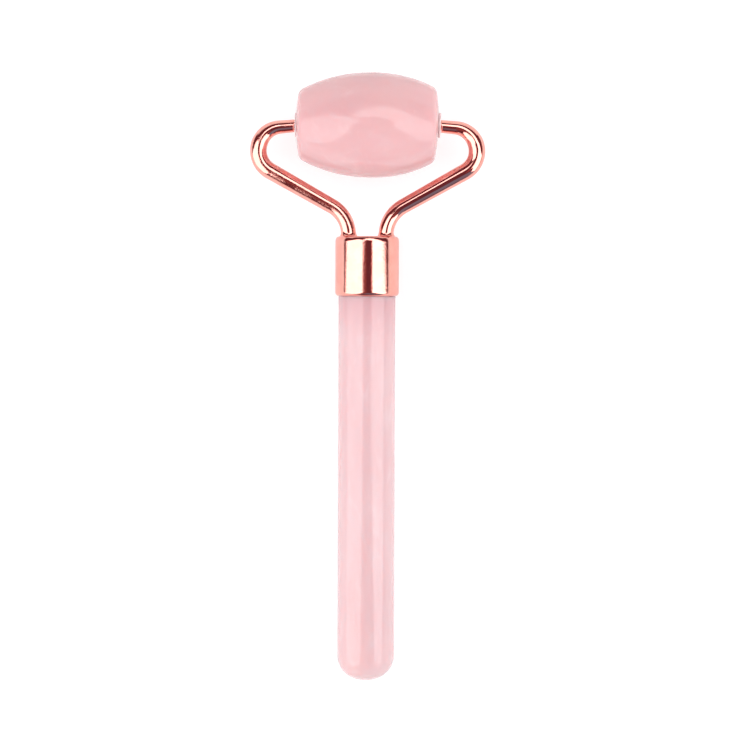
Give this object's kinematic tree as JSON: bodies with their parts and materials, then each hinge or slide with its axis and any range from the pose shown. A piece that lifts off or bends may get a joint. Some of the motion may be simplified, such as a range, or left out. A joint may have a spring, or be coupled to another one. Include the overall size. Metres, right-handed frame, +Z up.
{
  "type": "face roller",
  "caption": "Single-ended face roller: a crowned stone barrel spins freely on a bent wire fork, held by a ferrule on a round stone handle with a domed end.",
  "frame": {"origin": "centre of the bounding box's underside, on the table that the roller lies on", "axes": "X along the barrel's spin axis, +Y from the handle's domed end towards the barrel, +Z up from the table"},
  "size_m": [0.055, 0.143, 0.0245],
  "materials": {
    "roller_quartz": "polished",
    "handle_quartz": "polished",
    "rose_gold": "polished",
    "bush_plastic": "satin",
    "clear_adhesive": "gloss"
  },
  "bodies": {
    "handle_assembly": {"left_arm": "rose_gold", "right_arm": "rose_gold", "left_braze_fillet": "rose_gold", "right_braze_fillet": "rose_gold", "ferrule": "rose_gold", "handle_stone": "handle_quartz", "handle_adhesive": "clear_adhesive"},
    "roller_assembly": {"roller_stone": "roller_quartz", "left_bush": "bush_plastic", "right_bush": "bush_plastic"}
  },
  "joints": [
    {"name": "roller_spin", "type": "hinge", "parent": "handle_assembly", "child": "roller_assembly", "pos_m": [0, 0.05921, 0.01225], "axis": [1, 0, 0], "continuous": true}
  ]
}
